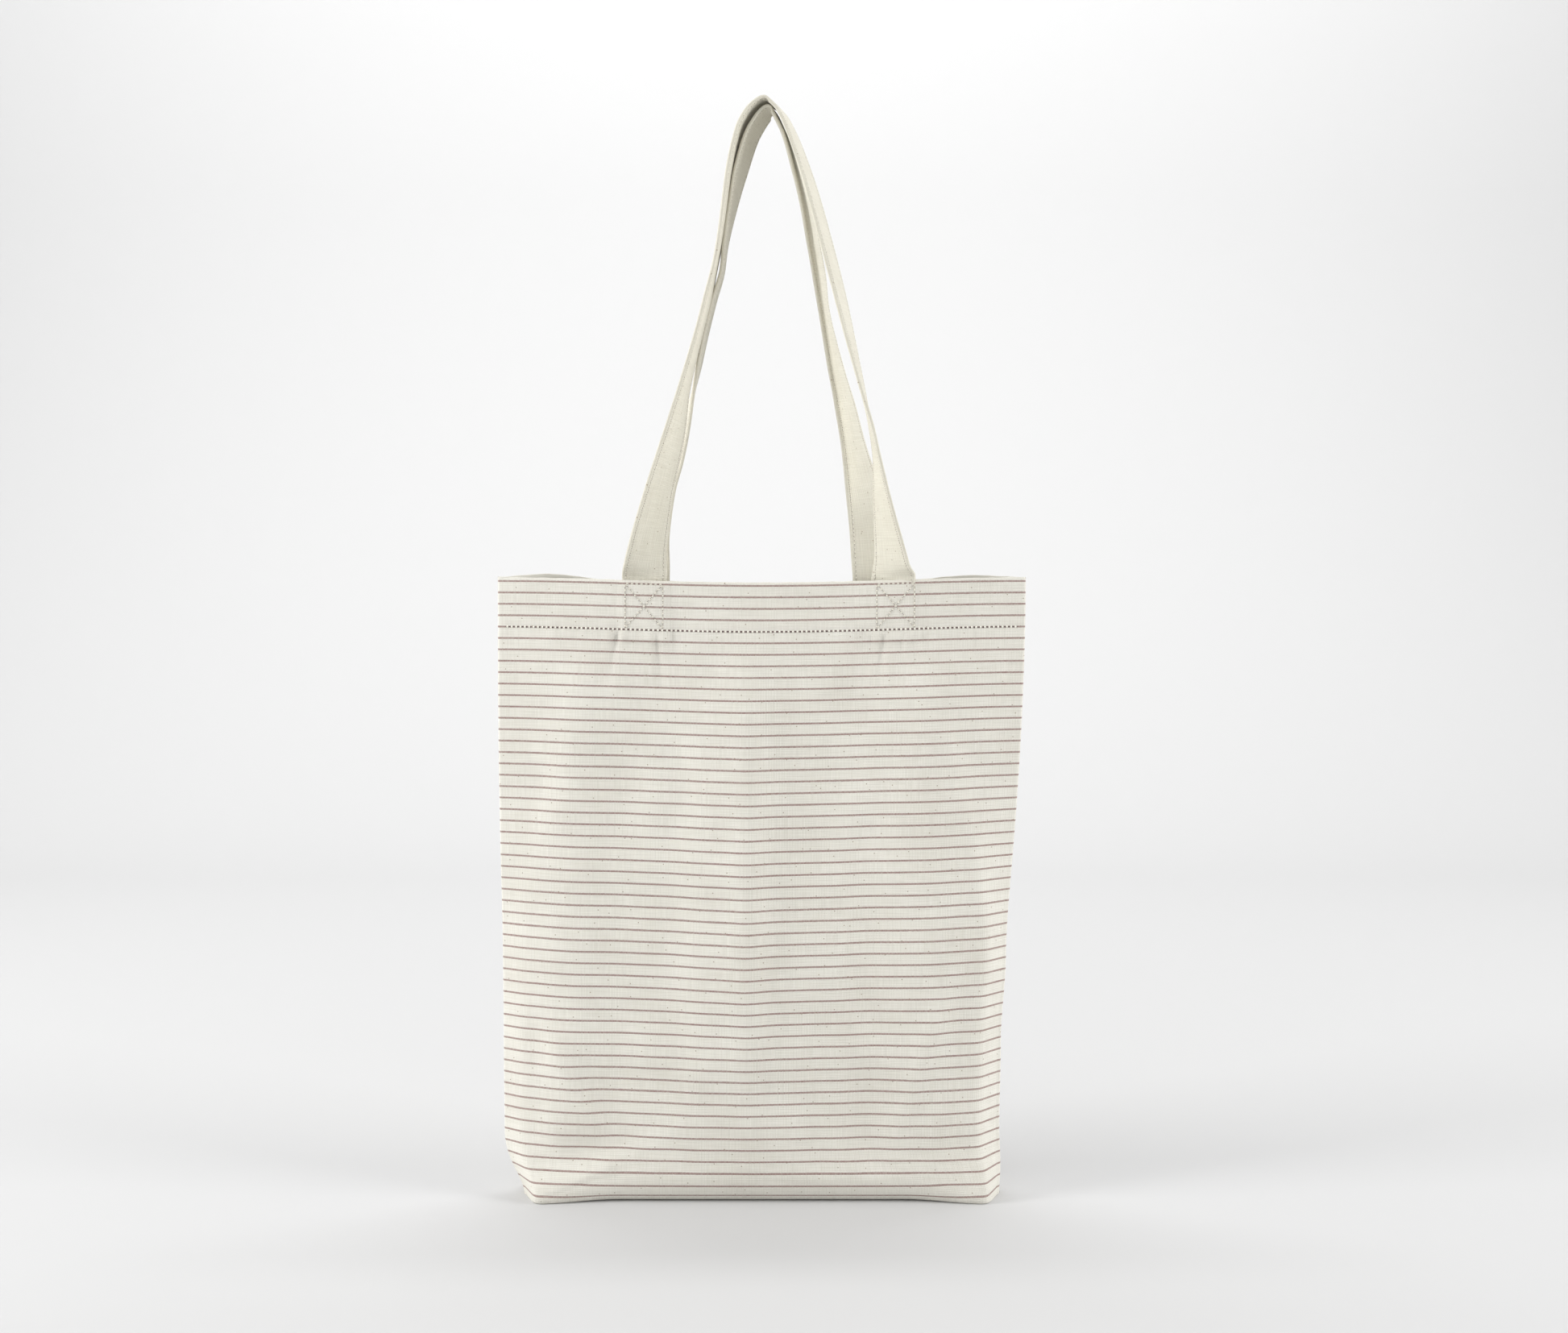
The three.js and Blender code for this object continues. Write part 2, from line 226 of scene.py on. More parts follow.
# %% Broad folds
# Each fold is its height, its place across the panel, how far it leans per mm
# down the panel, and its spread. A valley has a negative height.
BROAD_FOLDS = {
    "front": [(3.4, -120, -0.03, 17), (-3.0, -84, 0, 20), (3.0, 108, 0.04, 22),
              (-2.4, 64, 0.03, 22), (-2.4, 28, 0.05, 26)],
    "back": [(2.2, 104, 0, 24), (-2.0, 62, 0, 24), (2.1, -92, 0.04, 26), (-1.8, -30, 0, 30)],
}
UPPER_FOLDS = {
    "front": [(2.8, -10, 0, 10), (3.8, -16, 0, 30), (-2.0, -55, 0, 16), (-1.4, 12, 0, 12)],
    "back": [],
}


def folded(u, v, folds):
    """The sum of some broad folds at flat place u, v."""
    return sum((high * bump(u, place + lean * v, spread) for high, place, lean, spread in folds), 0.0)


print("broad folds", {side: len(BROAD_FOLDS[side] + UPPER_FOLDS[side]) for side in SIDES})

# %% Slanting creases
# Each crease passes through a place u, v and leans by so many mm per mm down.
# It is deepest at one height and fades away from it, with a ridge that has a
# height and a spread, and a valley beside it with a depth, a place and a spread.
CREASES = {
    "front": [
        dict(through=(118, 300), lean=-0.35, fades=(320, 55), ridge=(1.5, 7), valley=(1.3, 15, 9)),
        dict(through=(-128, 330), lean=0.5, fades=(345, 40), ridge=(1.6, 8), valley=(1.2, 16, 10)),
        dict(through=(-148, 412), lean=-1.85, fades=(390, 22), ridge=(1.7, 15), valley=(1.6, -36, 22)),
    ],
    "back": [dict(through=(-20, 200), lean=0.4, fades=(240, 70), ridge=(1.2, 9), valley=(0.9, 18, 11))],
}


def creased(u, v, through, lean, fades, ridge, valley):
    """How far one slanting crease lifts the cloth."""
    across = u - through[0] - lean * (v - through[1])
    high, spread = ridge
    deep, place, broad = valley
    return bump(v, *fades) * (high * bump(across, 0, spread) - deep * bump(across, place, broad))


# %% [markdown]
# The strap ends lie under the hem and raise it a little, the thread pulls
# the cloth in along each row of stitches, and small puckers fan out below
# the straps and along the hem.

# %% Where the sewing shapes the cloth
STRAP_RAISES, HEM_RAISES, THREAD_PULLS, FAN_HIGH = 1.1, 0.25, 0.5, 0.8
BOX_HALF = 12.5
FAN_LENGTH = 60


def sewn(side, u, v, seed):
    """How far strap ends, stitches and puckers move the cloth near the rim."""
    out = 0.0
    pull = bump(v, HEM_LINE, 1.6)
    for middle in STRAP_AT[side]:
        across = np.abs(u - middle)
        over_end = smooth((STRAP_WIDTH / 2 + 2.2 - across) / 2.6) * smooth((STRAP_TAIL + 2.5 - v) / 3)
        out = out + STRAP_RAISES * over_end * smooth((v + 1) / 4)
        pull = np.maximum(pull, bump(across, BOX_HALF, 1.1) * (v < HEM_LINE + 1))
        fan = np.clip((v - HEM_LINE) / FAN_LENGTH, 0, 1)
        near = smooth((34 - across) / 14) * (1 - fan) * smooth((v - HEM_LINE) / 6)
        out = out + FAN_HIGH * near * ripple((u - middle) / (1 + 0.8 * fan), 8.5, seed + int(middle) % 7)
    return out - THREAD_PULLS * pull + HEM_RAISES * smooth((HEM_LINE + 3 - v) / 4)


# %% All that moves the cloth out of the smooth loft
def swell(side, u, v):
    """How far the cloth stands out of the smooth loft, in mm."""
    inside = smooth((170 - np.abs(u)) / 30) * smooth(v / 12)
    low = smooth((v - 20) / 90) * smooth((410 - v) / 60)
    upper = 1 - smooth((v - 250) / 130)
    broad = folded(u, v, BROAD_FOLDS[side]) + upper * folded(u, v, UPPER_FOLDS[side])
    slanting = sum(creased(u, v, **crease) for crease in CREASES[side])
    seed = 11 if side == "front" else 12
    uneven = 0.5 * ripple(u + 9 * ripple(v, 130, seed + 4), 47, seed)
    uneven = uneven + 0.34 * ripple(v + 5 * ripple(u, 90, seed + 8), 58, seed + 6)
    puckers = 0.28 * ripple(u, 9.5, seed + 20) * bump(v, HEM_LINE + 2, 9)
    out = inside * (low * broad + slanting + uneven * smooth(v / 60) + puckers)
    return out + sewn(side, u, v, seed)


def sag(side, u, v):
    """How far the rim and the cloth below it hang under the level line, in mm."""
    across = np.cos(np.pi / 2 * np.clip(np.abs(u) / HALF_FLAT, 0, 1)) ** 2
    if side == "front":
        return 3.3 * across * (1 - smooth((v - 190) / 190))
    lifted = 3.0 * bump(u, -142, 26) + 2.2 * bump(u, 138, 28)
    return (5.2 * across - lifted) * (1 - smooth(v / 230))


for side in SIDES:
    print(side, "rim hangs", round(float(sag(side, 0.0, 0.0)), 1), "mm at its middle")

# %% [markdown]
# ## The two canvas panels
# Each panel is one sheet, lofted row by row: the hem inside, the fold over
# the rim, the face, the roll round the foot, and half of the base. Solidify
# then gives it the thickness of canvas.

# %% Panel rows and columns
middle_columns = np.linspace(-HALF_BASE, HALF_BASE, 137)
edge_columns = np.concatenate([HALF_BASE + np.arange(1, 12) * 2.35, [175.4, 176.3, 177.0, 177.5]])
columns = np.concatenate([-edge_columns[::-1], middle_columns, edge_columns])
HEM_ROWS = np.concatenate([[-HEM, -HEM + 0.5], np.linspace(-HEM + 3, -2.5, 13)])
FOLD_ROWS = 7
WALL_ROWS = np.concatenate([np.arange(0, 60, 1.5), np.linspace(60, HEIGHT, 136)])
ROLL_ROWS, STRIP_ROWS = 12, 7
print("rows over hem, fold and wall", len(HEM_ROWS), FOLD_ROWS - 1, len(WALL_ROWS) - 1)

# %% The foot and the base
# How high and how deep the roll round the foot is: at the middle, and near a corner.
ROLL_HEIGHTS, ROLL_DEPTHS = (22, 6), (14, 3)
CORNER_STARTS, CORNER_REACH = 95, 10.3


def base_end(depth):
    """Where the base ends at the boxed corner, by distance from the middle line."""
    inward = BASE_DEPTH - np.clip(depth, 0, BASE_DEPTH)
    return HALF_BASE + inward / (BASE_DEPTH - SEAM_HALF) * CORNER_REACH


def panel_points(side):
    """Rows of points and flat places over one panel, from the hem's raw edge to the base."""
    u = columns
    a = np.abs(u)
    corner = smooth((a - CORNER_STARTS) / (HALF_BASE - CORNER_STARTS))
    roll_z, roll_y = lerp(*ROLL_HEIGHTS, corner), lerp(*ROLL_DEPTHS, corner)
    beyond = smooth((a - HALF_BASE) / 12)
    roll_z, roll_y = lerp(roll_z, 2.0, beyond), lerp(roll_y, 0.8, beyond)
    points, flat = [], []

    def add(x, depth, z, v):
        points.append(np.stack([x, depth, z], 1))
        flat.append(np.stack([u + 0 * v, v + 0 * u], 1))

    rim_x, rim_depth = section(u, HEIGHT)
    rim = HEIGHT - sag(side, u, 0.0)
    short = (HALF_FLAT - 9) / HALF_FLAT
    for v in HEM_ROWS:
        pulled = lerp(1, short, smooth(-v / 4))
        x, depth = section(u * pulled, HEIGHT)
        lift = swell(side, u, -v) * 0.35 * smooth(-v / 8)
        add(x, depth - 2 * FOLD + lift - 0.25 * bump(-v, HEM_LINE, 1.6), rim - FOLD + v, v)
    for step in range(1, FOLD_ROWS):
        angle = np.pi * step / FOLD_ROWS
        depth = rim_depth - FOLD - FOLD * np.cos(angle)
        v = -1.5 + 3.0 * step / FOLD_ROWS
        wobble = 0.12 * ripple(u, 15, 3)
        add(rim_x, np.maximum(depth, 0.03), rim - FOLD + FOLD * np.sin(angle) + wobble, v)
    for v in WALL_ROWS[1:]:
        v_here = np.where(v < 60, v, lerp(60, HEIGHT - roll_z, (v - 60) / (HEIGHT - 60)))
        z = HEIGHT - v_here
        x, depth = section(u, z)
        out = swell(side, u, v_here) * smooth((HALF_FLAT - 1 - a) / 10) * smooth(z / 25)
        add(x, depth + out, z - sag(side, u, v_here), v_here)
    length = np.pi / 2 * np.sqrt((roll_z**2 + roll_y**2) / 2)
    for step in range(1, ROLL_ROWS + 1):
        angle = np.pi / 2 * step / ROLL_ROWS
        z = roll_z * (1 - np.sin(angle))
        x, depth = section(u, z)
        foot_depth = np.maximum(depth - roll_y * (1 - np.cos(angle)), 0.05)
        foot_x, foot_v = x, HEIGHT - roll_z + length * step / ROLL_ROWS
        add(x, foot_depth, z, foot_v)
    for step in range(1, STRIP_ROWS + 1):
        share = step / STRIP_ROWS
        depth = lerp(foot_depth, 0.1, share)
        x = lerp(foot_x, np.clip(u / HALF_BASE, -1, 1) * base_end(depth), smooth(share * 3))
        lift = 0.35 * smooth(share * 2) * smooth((130 - a) / 40)
        add(x, depth, 0 * u + lift, foot_v + foot_depth * share)
    points, flat = np.array(points), np.array(flat)
    points[..., 1] *= SIDES[side]
    return points, flat


sheets = {side: panel_points(side) for side in SIDES}
print("panel rows and columns", sheets["front"][0].shape[:2])

# %% Build the panels
STRIP_START = len(HEM_ROWS) + FOLD_ROWS - 1 + len(WALL_ROWS) - 1 + ROLL_ROWS - 1
FIRST_BASE, LAST_BASE = len(edge_columns), len(edge_columns) + len(middle_columns) - 1


def on_base(row, column):
    """The base is only as wide as the boxed corners leave it."""
    return row < STRIP_START or FIRST_BASE <= column < LAST_BASE


panels = {}
for side in SIDES:
    points, flat = sheets[side]
    rows = len(points)
    faces = grid_faces(rows, len(columns), turned=side == "front", keep=on_base)
    panel = mesh_piece(f"{side}_canvas", points.reshape(-1, 3), faces, flat.reshape(-1, 2))
    work_on(panel)
    bpy.ops.object.mode_set(mode="EDIT")
    bpy.ops.mesh.select_all(action="SELECT")
    bpy.ops.mesh.delete_loose()
    bpy.ops.object.mode_set(mode="OBJECT")
    thicken(panel, CANVAS)
    panels[side] = panel

# %% [markdown]
# ## Straps
# Each strap is one band of folded canvas, 30 mm wide, that starts inside the
# rim, goes up, twists where it bends, and comes down again. The band is
# lofted along its route: a soft curve through stations that each say how
# high the band is, how far out, and which way its width faces.

# %% The route of each strap
# A station is [how far up the loop, how far out to the sewn end, the yaw of its
# width in degrees]: the first two go from 0 to 1.
ROUTES = {
    "front": dict(
        top_x=4, top_depth=-2, drop=317,
        left=[
            [0, 1, 0], [0.02, 0.993, 20], [0.043, 0.982, 31], [0.11, 0.936, 44], [0.177, 0.88, 55],
            [0.245, 0.806, 61], [0.312, 0.735, 69], [0.379, 0.677, 79], [0.446, 0.613, 84],
            [0.514, 0.547, 86], [0.58, 0.486, 86], [0.648, 0.43, 89], [0.715, 0.383, 88],
            [0.782, 0.345, 86], [0.85, 0.305, 84], [0.916, 0.247, 82], [0.95, 0.2, 80],
            [0.984, 0.105, 77],
        ],
        right=[
            [0, 0.985, 164], [0.02, 0.972, 142], [0.045, 0.96, 132], [0.11, 0.925, 117],
            [0.18, 0.885, 105], [0.25, 0.848, 94], [0.31, 0.806, 90], [0.38, 0.745, 84],
            [0.445, 0.689, 80], [0.58, 0.573, 74], [0.71, 0.447, 73], [0.85, 0.3, 74],
            [0.95, 0.165, 76], [0.985, 0.09, 77],
        ],
    ),
    "back": dict(
        top_x=6, top_depth=2, drop=312.5,
        left=[
            [0, 1, 0], [0.06, 0.99, -22], [0.11, 0.946, -42], [0.18, 0.873, -58],
            [0.249, 0.776, -68], [0.318, 0.702, -76], [0.384, 0.645, -84], [0.452, 0.59, -90],
            [0.521, 0.534, -91], [0.588, 0.472, -91], [0.657, 0.408, -90], [0.726, 0.362, -92],
            [0.8, 0.31, -97], [0.875, 0.247, -103], [0.96, 0.135, -104],
        ],
        right=[
            [0, 1, -180], [0.1, 0.965, -166], [0.17, 0.91, -148], [0.28, 0.805, -126],
            [0.38, 0.709, -118], [0.447, 0.636, -112], [0.58, 0.512, -104], [0.65, 0.465, -107],
            [0.72, 0.405, -107], [0.79, 0.34, -105], [0.86, 0.258, -102], [0.96, 0.115, -98],
        ],
    ),
}
HANDLE_BOW = 10.0


def soft_curve(stops, t):
    """A centripetal Catmull-Rom curve through stops, at t from 0 to 1."""
    stops = np.asarray(stops, float)
    last = len(stops) - 1
    i = min(int(last * t), last - 1)
    w = last * t - i
    p1, p2 = stops[i], stops[i + 1]
    p0 = stops[i - 1] if i else 2 * p1 - p2
    p3 = stops[i + 2] if i + 2 <= last else 2 * p2 - p1
    gaps = ((p0, p1), (p1, p2), (p2, p3))
    d0, d1, d2 = (max(np.linalg.norm((b - a)[:3]) ** 0.5, 1e-4) for a, b in gaps)
    m1 = ((p1 - p0) / d0 - (p2 - p0) / (d0 + d1) + (p2 - p1) / d1) * d1
    m2 = ((p2 - p1) / d1 - (p3 - p1) / (d1 + d2) + (p3 - p2) / d2) * d1
    square, cube = 3 * (p2 - p1) - 2 * m1 - m2, 2 * (p1 - p2) + m1 + m2
    return p1 + m1 * w + square * w**2 + cube * w**3


def strap_stops(side):
    """Stops x, y, z, yaw of the band's middle line, from the left of the rim to the right."""
    route, out = ROUTES[side], SIDES[side]

    def leg(anchor, stations):
        made = []
        for rise, spread, yaw in stations:
            bow = HANDLE_BOW * math.sin(math.pi * rise**0.7)
            made.append([
                lerp(route["top_x"], anchor, spread),
                lerp(out * STRAP_DEPTH, route["top_depth"], rise) + out * bow,
                lerp(HEIGHT + 1, HEIGHT + route["drop"], rise),
                yaw,
            ])
        return made

    left_at, right_at = STRAP_AT[side]
    left, right = leg(left_at, route["left"]), leg(right_at, route["right"])
    top = [route["top_x"], route["top_depth"], HEIGHT + route["drop"], (left[-1][3] + right[-1][3]) / 2]
    return left + [top] + right[::-1]


def strap_frames(side, steps=300):
    """Middle points, width directions, outward directions and lengths along the whole band."""
    stops = strap_stops(side)
    loop = np.array([soft_curve(stops, i / steps) for i in range(steps + 1)])
    tail = np.linspace(STRAP_TAIL + 1, 2, 20)[:, None] * [[0, 0, -1, 0]]
    line = np.concatenate([loop[:1] + tail, loop, loop[-1:] + tail[::-1]])
    centre, yaw = line[:, :3], np.radians(line[:, 3])
    along = np.gradient(centre, axis=0)
    along /= np.linalg.norm(along, axis=1)[:, None]
    width = np.stack([np.cos(yaw), np.sin(yaw), 0 * yaw], 1)
    width -= (width * along).sum(1)[:, None] * along
    width /= np.linalg.norm(width, axis=1)[:, None]
    out = np.cross(width, along)
    gone = np.concatenate([[0], np.cumsum(np.linalg.norm(np.diff(centre, axis=0), axis=1))])
    return centre, width, out, gone


# %% Loft the bands
EDGE_ROW = 12.4
HALF_STRAP, EDGE_ROUND = STRAP_WIDTH / 2, 1.2
# The thread pinches the band along its edges, and leaves it fuller in between.
PINCH, FULLNESS = 0.34, 0.12


def band_outline():
    """Places across the band's width, and half of its thickness at each."""
    across = np.concatenate([
        -HALF_STRAP + EDGE_ROUND * (1 - np.cos(np.linspace(0, np.pi / 2, 6)[:-1])),
        np.linspace(EDGE_ROUND - HALF_STRAP, HALF_STRAP - EDGE_ROUND, 25),
        HALF_STRAP - EDGE_ROUND * (1 - np.cos(np.linspace(np.pi / 2, 0, 6)[1:])),
    ])
    near_edge = np.clip((HALF_STRAP - np.abs(across)) / EDGE_ROUND, 0, 1)
    half = STRAP_THICKNESS / 2 * np.sqrt(1 - (1 - near_edge) ** 2)
    half -= PINCH * bump(np.abs(across), EDGE_ROW, 0.75)
    half += FULLNESS * bump(across, 0, 8)
    return across, half


def band_ends(side_count, count, last):
    """The faces that close the band's two ends, edge to edge."""
    faces = []
    for base in (0, last):
        for k in range(side_count - 1):
            a, b = base + k, base + k + 1
            if k == 0:
                face = (a, b, base + count - 1)
            elif k == side_count - 2:
                face = (a, b, base + count - k)
            else:
                face = (a, b, base + count - k - 1, base + count - k)
            faces.append(face[::-1] if base else face)
    return faces


def band_piece(name, centre, width, out, gone, wave):
    """The closed band along its route; wave is how far its edges curl at each place."""
    across, half = band_outline()
    section_x = np.concatenate([across, across[::-1][1:-1]])
    section_y = np.concatenate([half, -half[::-1][1:-1]])
    flat_x = HALF_STRAP + np.concatenate([across, STRAP_WIDTH + across[::-1][1:-1]])
    count = len(section_x)
    points, flat = [], []
    for i in range(len(centre)):
        curl = wave[i] * (section_x / HALF_STRAP) ** 2
        x = section_x * (1 + 0.006 * math.sin(gone[i] / 7.0))
        points.append(centre[i] + x[:, None] * width[i] + (section_y + curl)[:, None] * out[i])
        flat.append(np.stack([flat_x, np.full(count, gone[i])], 1))
    faces = grid_faces(len(centre), count, wrap=True)
    faces += band_ends(len(across), count, (len(centre) - 1) * count)
    return mesh_piece(name, np.concatenate(points), faces, np.concatenate(flat))


# %% Make the two straps
straps, strap_lines = {}, {}
for side in SIDES:
    centre, width, out, gone = strap_frames(side)
    if side == "back":
        kink = bump(centre[:, 2], 617, 13) * (centre[:, 0] < 0)
        centre = centre + np.array([1.2, 0, 0]) * kink[:, None]
    wave = 0.5 * ripple(gone, 210, 31 if side == "front" else 32) * smooth((centre[:, 2] - 425) / 40)
    strap_lines[side] = (centre, width, out, gone, wave)
    straps[side] = band_piece(f"{side}_strap", centre, width, out, gone, wave)
    print(side, "strap length", round(gone[-1], 1), "mm")

# %% [markdown]
# ## Stitches
# Sewing thread shows as a row of short, plump dashes that dip to the cloth
# at both ends, where the needle went through. One stitch is modelled as a
# thin spindle of two dozen faces and copied along each row, following the
# cloth it holds.

# %% Stitch rows
STITCH = 3.0
THREAD = 0.45
HEM_STITCH = dict(reach=0.92, broad=0.74, high=0.42)
EDGE_STITCH = dict(reach=0.84, broad=0.4, high=0.36)


def spindle():
    """Points and faces of one stitch: 1 long, 2 wide, along X, and dipping at both ends."""
    sides, rings = 6, [(-0.38, 0.82), (0.0, 1.0), (0.38, 0.82)]
    points = [(-0.5, 0, -0.6)]
    for x, size in rings:
        for k in range(sides):
            angle = 2 * math.pi * k / sides
            points.append((x, size * math.cos(angle), size * math.sin(angle) - (0.35 if x else 0)))
    points.append((0.5, 0, -0.6))
    faces = [(0, 1 + (k + 1) % sides, 1 + k) for k in range(sides)]
    for r in range(len(rings) - 1):
        a = 1 + r * sides
        for k in range(sides):
            ahead = a + (k + 1) % sides
            faces.append((a + k, ahead, ahead + sides, a + k + sides))
    last, a = len(points) - 1, 1 + (len(rings) - 1) * sides
    faces += [(last, a + k, a + (k + 1) % sides) for k in range(sides)]
    return np.array(points), faces


SPINDLE, SPINDLE_FACES = spindle()


def stitch_rows(name, rows, reach=0.9, broad=THREAD, high=THREAD):
    """One mesh of stitches from rows of (places, directions, outward directions) in mm.

    reach is how much of each stitch shows; broad and high are half its width and height.
    """
    points, faces, flat = [], [], []
    for places, along, out in rows:
        side = np.cross(out, along)
        for p, a, s, o in zip(places, along, side, out):
            start = len(points) * len(SPINDLE)
            local = SPINDLE * [STITCH * reach, broad, high]
            points.append(p + local[:, :1] * a + local[:, 1:2] * s + local[:, 2:] * o)
            flat.append(SPINDLE[:, :2] * [STITCH, 1] + [len(points) * STITCH, 0])
            faces += [tuple(start + k for k in face) for face in SPINDLE_FACES]
    made = mesh_piece(name, np.concatenate(points), faces, np.concatenate(flat))
    print(name, len(points), "stitches")
    return made


def cloth_place(side, u, v):
    """Points and outward directions on a panel's face at flat places u, v near the rim."""
    points, flat = sheets[side]
    first = len(HEM_ROWS) + FOLD_ROWS - 1
    rows = flat[first:, len(columns) // 2, 1]

    def at(u, v):
        c = np.interp(u, columns, np.arange(len(columns)))
        r = np.interp(v, rows, np.arange(len(rows)))
        c0, r0 = np.minimum(c.astype(int), len(columns) - 2), np.minimum(r.astype(int), len(rows) - 2)
        wc, wr = (c - c0)[:, None], (r - r0)[:, None]
        grid = points[first:]
        top = lerp(grid[r0, c0], grid[r0, c0 + 1], wc)
        return lerp(top, lerp(grid[r0 + 1, c0], grid[r0 + 1, c0 + 1], wc), wr)

    place = at(u, v)
    across = at(u + 1.5, v) - at(u - 1.5, v)
    down = at(u, v + 1.2) - at(u, v - 1.2)
    out = np.cross(down, across)
    out *= np.sign(out[:, 1:2]) * SIDES[side]
    out /= np.linalg.norm(out, axis=1)[:, None]
    return place, out


def row_on_cloth(side, start, end, lift=0.18):
    """A straight row of stitches on the cloth, from one flat place to another."""
    start, end = np.array(start, float), np.array(end, float)
    length = np.linalg.norm(end - start)
    count = max(int(round(length / STITCH)), 1)
    share = (np.arange(count) + 0.5) / count
    u, v = (start + (end - start) * share[:, None]).T
    step = (end - start) / length
    place, out = cloth_place(side, u, v)
    after, before = (cloth_place(side, u + k * step[0], v + k * step[1])[0] for k in (1, -1))
    ahead = after - before
    ahead /= np.linalg.norm(ahead, axis=1)[:, None]
    return place + out * lift, ahead, out


# %% The stitches of hems and boxes
BOX_TOP, BOX_FOOT = 2.5, 32.0
hem_threads, box_threads = {}, {}
for side in SIDES:
    outer = row_on_cloth(side, (-172, HEM_LINE), (172, HEM_LINE), lift=0.25)
    inner_place = outer[0] - outer[2] * (2 * FOLD + 0.25)
    keep = np.abs(inner_place[:, 0]) < 160
    inner = (inner_place[keep], outer[1][keep], -outer[2][keep])
    hem_threads[side] = stitch_rows(f"{side}_hem_thread", [outer, inner], **HEM_STITCH)
    for k, middle in enumerate(STRAP_AT[side]):
        left, right = middle - BOX_HALF, middle + BOX_HALF
        corners = [(left, BOX_TOP), (right, BOX_TOP), (right, BOX_FOOT), (left, BOX_FOOT)]
        rows = [row_on_cloth(side, corners[i], corners[(i + 1) % 4]) for i in (0, 1, 3)]
        rows += [row_on_cloth(side, corners[i], corners[i + 2]) for i in (0, 1)]
        back = []
        for place, ahead, out in rows:
            flat_back = place.copy()
            flat_back[:, 1] = SIDES[side] * (STRAP_DEPTH - STRAP_THICKNESS / 2 - 0.1)
            back.append((flat_back, ahead, -out))
        name = f"{side}_box_thread_{('left', 'right')[k]}"
        box_threads[side, k] = stitch_rows(name, rows + back)

# %% Edge stitches of the straps
edge_threads = {}
across, half = band_outline()
for side in SIDES:
    centre, width, out, gone, wave = strap_lines[side]
    marks = np.arange(4, gone[-1] - 4, STITCH)
    lines = (centre, width, out)
    spot = [np.stack([np.interp(marks, gone, line[:, k]) for k in range(3)], 1) for line in lines]
    depth = np.interp(EDGE_ROW, across, half)
    curl = np.interp(marks, gone, wave) * (EDGE_ROW / HALF_STRAP) ** 2
    rows = []
    for edge in (-EDGE_ROW, EDGE_ROW):
        for face in (-1, 1):
            place = spot[0] + edge * spot[1] + (face * (depth + 0.1) + curl)[:, None] * spot[2]
            ahead = np.gradient(place, axis=0)
            ahead /= np.linalg.norm(ahead, axis=1)[:, None]
            rows.append((place, ahead, face * spot[2]))
    edge_threads[side] = stitch_rows(f"{side}_strap_thread", rows, **EDGE_STITCH)

# %% [markdown]
# ## Seam allowances inside the bag
# Down both sides, across the boxed corners and along the bottom, the two
# layers of canvas are sewn together and overcast with thread so that they
# don't fray. They stand inside the bag as narrow double strips.

# %% Seam strips
def seam_strip(name, middle, across, up, width, thickness):
    """A closed strip lofted along its middle line, with rounded long edges."""
    angle = np.linspace(0, 2 * np.pi, 16, endpoint=False)
    a = np.sign(np.cos(angle)) * np.abs(np.cos(angle)) ** 0.35 * width / 2
    b = np.sign(np.sin(angle)) * np.abs(np.sin(angle)) ** 0.6 * thickness / 2
    gone = np.concatenate([[0], np.cumsum(np.linalg.norm(np.diff(middle, axis=0), axis=1))])
    points = middle[:, None] + a[None, :, None] * across[:, None] + b[None, :, None] * up[:, None]
    flat = np.stack(np.broadcast_arrays(a[None] + 0 * gone[:, None], gone[:, None] + 0 * a[None]), -1)
    faces = grid_faces(len(middle), 16, wrap=True)
    last = (len(middle) - 1) * 16
    faces += [tuple(range(15, -1, -1)), tuple(last + k for k in range(16))]
    return mesh_piece(name, points.reshape(-1, 3), faces, flat.reshape(-1, 2))


# %% The five seams
# Width and thickness of each strip, then how far its middle is from the cloth.
SIDE_SEAM, CORNER_SEAM, BOTTOM_SEAM = (6.6, 1.7), (7, 1.8), (8, 1.7)
SIDE_INSET, CORNER_INSET, CORNER_RISE, BOTTOM_RISE = 5.4, 6.2, 2.2, 2.4
X_AXIS, Y_AXIS, Z_AXIS = np.eye(3)


def every(direction, places):
    """The same direction at every place."""
    return np.tile(direction, (len(places), 1))


seams = {}
for name, hand in (("left", -1), ("right", 1)):
    z = np.linspace(7, 405, 160)
    x, _ = section(hand * HALF_FLAT, z)
    wander = 0.25 * ripple(z, 37, 40 + hand)
    middle = np.stack([x - hand * (SIDE_INSET + wander), 0 * z, z], 1)
    across, up = every(hand * X_AXIS, z), every(hand * Y_AXIS, z)
    strip = seam_strip(f"{name}_side_overcast", middle, across, up, *SIDE_SEAM)
    seams[f"{name}_side_seam"] = strip
    y = np.linspace(-24, 24, 40)
    x = hand * (base_end(np.abs(y)) - CORNER_INSET)
    middle = np.stack([x, y, 0 * y + CORNER_RISE], 1)
    across, up = every(hand * X_AXIS, y), every(-hand * Z_AXIS, y)
    strip = seam_strip(f"{name}_corner_overcast", middle, across, up, *CORNER_SEAM)
    seams[f"{name}_corner_seam"] = strip
x = np.linspace(-138, 138, 130)
middle = np.stack([x, 0.3 * ripple(x, 60, 50), 0 * x + BOTTOM_RISE], 1)
across, up = every(Y_AXIS, x), every(Z_AXIS, x)
seams["bottom_seam"] = seam_strip("bottom_overcast", middle, across, up, *BOTTOM_SEAM)
print("seam strips", list(seams))

